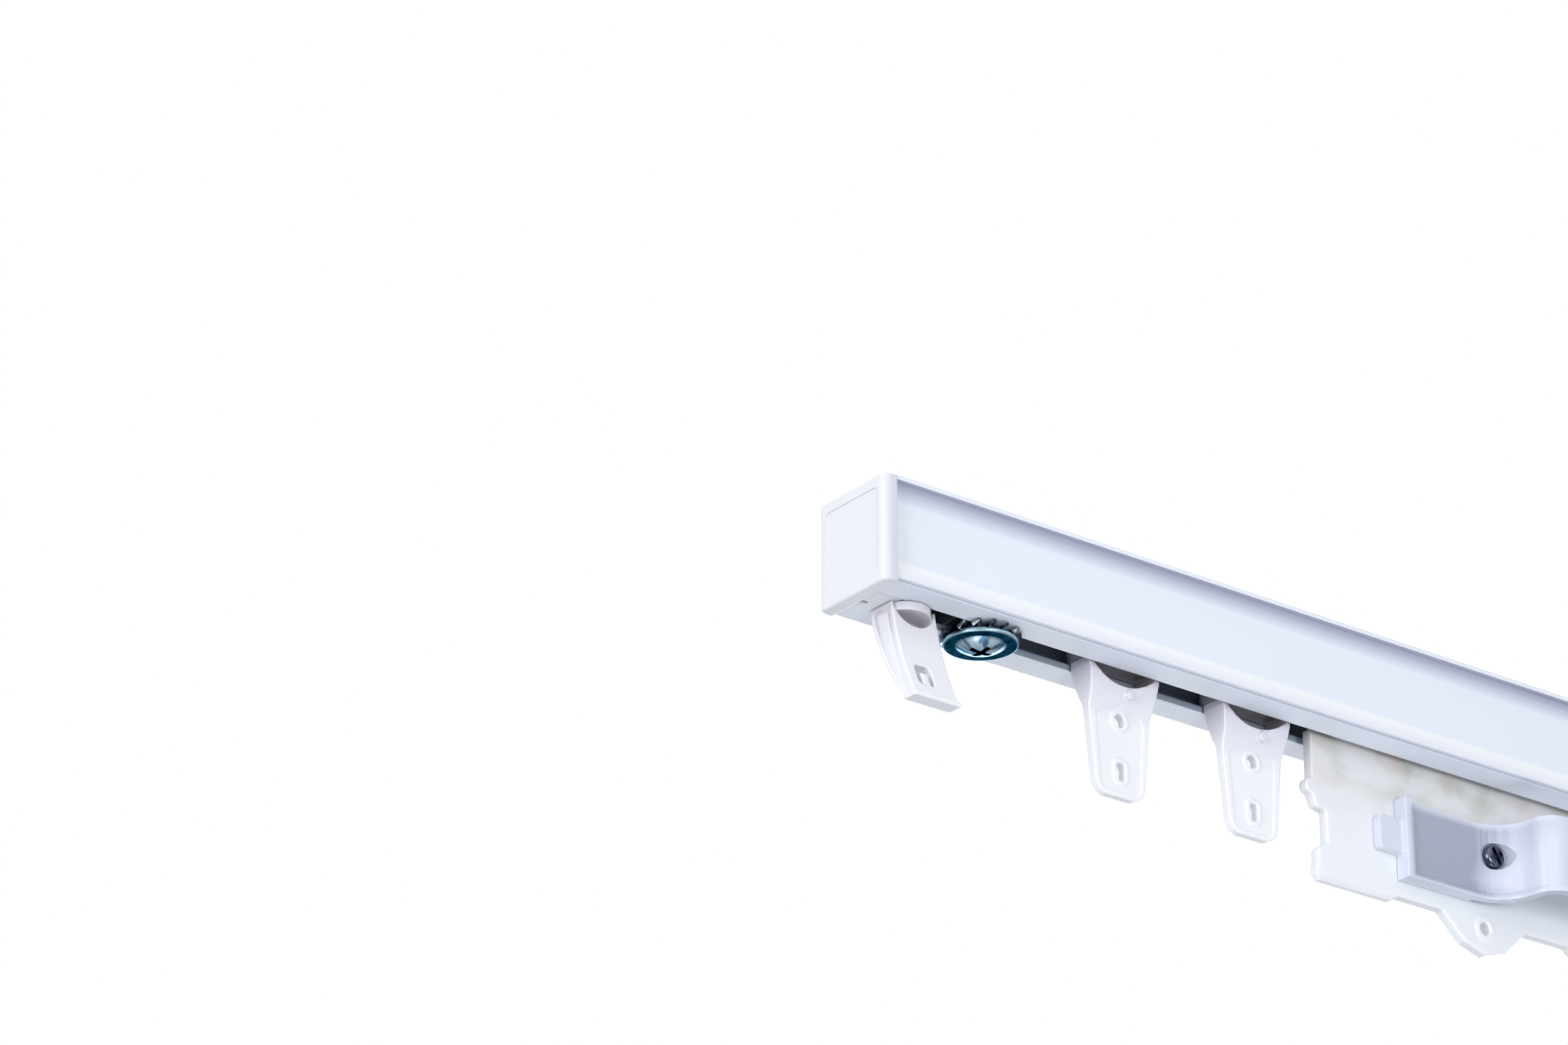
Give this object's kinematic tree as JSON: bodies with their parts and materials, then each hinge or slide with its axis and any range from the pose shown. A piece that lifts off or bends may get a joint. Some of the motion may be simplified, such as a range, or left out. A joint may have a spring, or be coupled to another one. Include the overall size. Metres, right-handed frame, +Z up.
{
  "type": "curtain track",
  "caption": "Square ceiling curtain track with end caps, end hook, stop screws, sliding gliders and a roller master carrier with an overlap arm",
  "frame": {"origin": "middle of the rail's flat ceiling face; the whole part hangs below Z = 0", "axes": "X runs along the rail and the carriers slide along it, -Y faces the room with the overlap arm in front, Z is up towards the ceiling"},
  "size_m": [0.2854, 0.026, 0.0534],
  "materials": {
    "rail_white": "white powder coat on an aluminium extrusion",
    "cap_plastic": "white moulded plastic",
    "hook_plastic": "white moulded plastic",
    "glider_plastic": "white moulded acetal",
    "carrier_plastic": "translucent natural plastic",
    "arm_plastic": "bluish white plastic",
    "roller_plastic": "white acetal",
    "screw_steel": "blue zinc-plated steel",
    "washer_steel": "spring steel",
    "zinc_steel": "zinc-plated steel",
    "arm_screw_steel": "dark plated steel"
  },
  "bodies": {
    "track": {"rail": "rail_white", "left_end_cap": "cap_plastic", "right_end_cap": "cap_plastic", "end_hook": "hook_plastic", "left_stop_screw": "screw_steel", "left_stop_washer": "washer_steel", "left_stop_nut": "zinc_steel", "right_stop_screw": "screw_steel", "right_stop_washer": "washer_steel", "right_stop_nut": "zinc_steel"},
    "first_glider": {"glider_1": "glider_plastic"},
    "second_glider": {"glider_2": "glider_plastic"},
    "carrier": {"carrier_plate": "carrier_plastic", "lead_axle": "zinc_steel", "tail_axle": "zinc_steel", "overlap_arm": "arm_plastic", "arm_screw": "arm_screw_steel", "arm_nut": "zinc_steel"},
    "lead_near": {"lead_roller_near": "roller_plastic"},
    "lead_far": {"lead_roller_far": "roller_plastic"},
    "tail_near": {"tail_roller_near": "roller_plastic"},
    "tail_far": {"tail_roller_far": "roller_plastic"}
  },
  "joints": [
    {"name": "first_glider_slide", "type": "slide", "parent": "track", "child": "first_glider", "axis": [1, 0, 0], "range_m": [-0.014, 0.007]},
    {"name": "second_glider_slide", "type": "slide", "parent": "track", "child": "second_glider", "axis": [1, 0, 0], "range_m": [-0.007, 0.002]},
    {"name": "carrier_slide", "type": "slide", "parent": "track", "child": "carrier", "axis": [1, 0, 0], "range_m": [-0.002, 0.057]},
    {"name": "lead_near_roll", "type": "hinge", "parent": "carrier", "child": "lead_near", "pos_m": [0.035, -0.00505, -0.0136], "axis": [0, 1, 0], "range_deg": [-26, 760]},
    {"name": "lead_far_roll", "type": "hinge", "parent": "carrier", "child": "lead_far", "pos_m": [0.035, 0.00505, -0.0136], "axis": [0, 1, 0], "range_deg": [-26, 760]},
    {"name": "tail_near_roll", "type": "hinge", "parent": "carrier", "child": "tail_near", "pos_m": [-0.025, -0.00505, -0.0136], "axis": [0, 1, 0], "range_deg": [-26, 760]},
    {"name": "tail_far_roll", "type": "hinge", "parent": "carrier", "child": "tail_far", "pos_m": [-0.025, 0.00505, -0.0136], "axis": [0, 1, 0], "range_deg": [-26, 760]}
  ],
  "couplings": [
    {"joint": "lead_near_roll", "follows": "carrier_slide", "rad_per_m": 222.22},
    {"joint": "lead_far_roll", "follows": "carrier_slide", "rad_per_m": 222.22},
    {"joint": "tail_near_roll", "follows": "carrier_slide", "rad_per_m": 222.22},
    {"joint": "tail_far_roll", "follows": "carrier_slide", "rad_per_m": 222.22}
  ]
}
